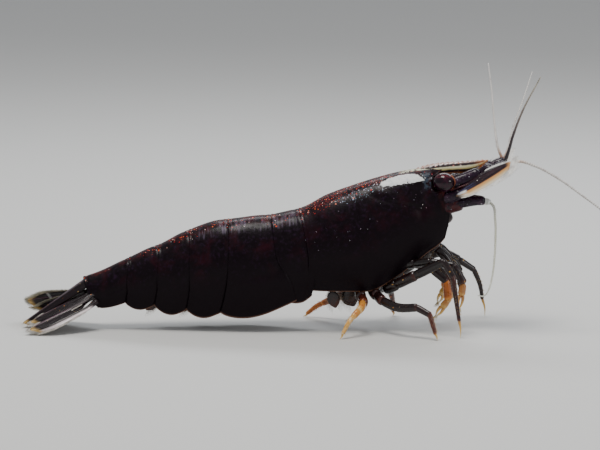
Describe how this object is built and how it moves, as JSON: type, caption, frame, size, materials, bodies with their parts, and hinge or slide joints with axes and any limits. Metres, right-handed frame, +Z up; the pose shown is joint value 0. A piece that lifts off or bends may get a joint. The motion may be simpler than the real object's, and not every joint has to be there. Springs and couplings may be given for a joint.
{
  "type": "aquarium dwarf shrimp model",
  "caption": "Still, life-size dark freshwater dwarf shrimp standing with its head raised, feelers out and its tail fan on the floor.",
  "frame": {"origin": "middle of the model's outline on the floor", "axes": "+X towards the head, along the body's length; +Y the animal's left side; +Z up"},
  "size_m": [0.0316, 0.0154, 0.013],
  "materials": {
    "shell": "glossy near-black shell with a wine cast, pale flecks and one white patch",
    "blade": "thin glossy dark blade with an amber and white margin",
    "limb": "dark brown limb with amber, part clear joints and tips",
    "stalk": "dark satin",
    "eye": "wet, finely faceted, purple-black",
    "feeler": "fine ringed feeler, dark at the root and pale beyond"
  },
  "bodies": {
    "root": {"carapace": "shell", "rostrum": "shell", "abdomen_1": "shell", "abdomen_2": "shell", "abdomen_3": "shell", "abdomen_4": "shell", "abdomen_5": "shell", "abdomen_6": "shell", "telson": "blade", "tail_blade_inner_right": "blade", "tail_blade_outer_right": "blade", "tail_blade_inner_left": "blade", "tail_blade_outer_left": "blade", "maxilliped_right": "limb", "maxilliped_left": "limb", "leg_1_right": "limb", "leg_1_left": "limb", "leg_2_right": "limb", "leg_2_left": "limb", "leg_3_right": "limb", "leg_3_left": "limb", "leg_4_right": "limb", "leg_4_left": "limb", "leg_5_right": "limb", "leg_5_left": "limb", "feeler_outer_right_1": "feeler", "feeler_outer_right_2": "feeler", "feeler_inner_right": "feeler", "feeler_outer_left": "feeler", "feeler_inner_left": "feeler", "antenna_right_1": "feeler", "antenna_right_2": "feeler", "antenna_left_1": "feeler", "antenna_left_2": "feeler", "eye_right": "eye", "eyestalk_right": "stalk", "antennule_right": "shell", "antenna_base_right": "shell", "antennal_scale_right": "blade", "pleopod_1_right": "limb", "pleopod_2_right": "limb", "pleopod_3_right": "limb", "pleopod_4_right": "limb", "pleopod_5_right": "limb", "eye_left": "eye", "eyestalk_left": "stalk", "antennule_left": "shell", "antenna_base_left": "shell", "antennal_scale_left": "blade", "pleopod_1_left": "limb", "pleopod_2_left": "limb", "pleopod_3_left": "limb", "pleopod_4_left": "limb", "pleopod_5_left": "limb"}
  },
  "joints": []
}
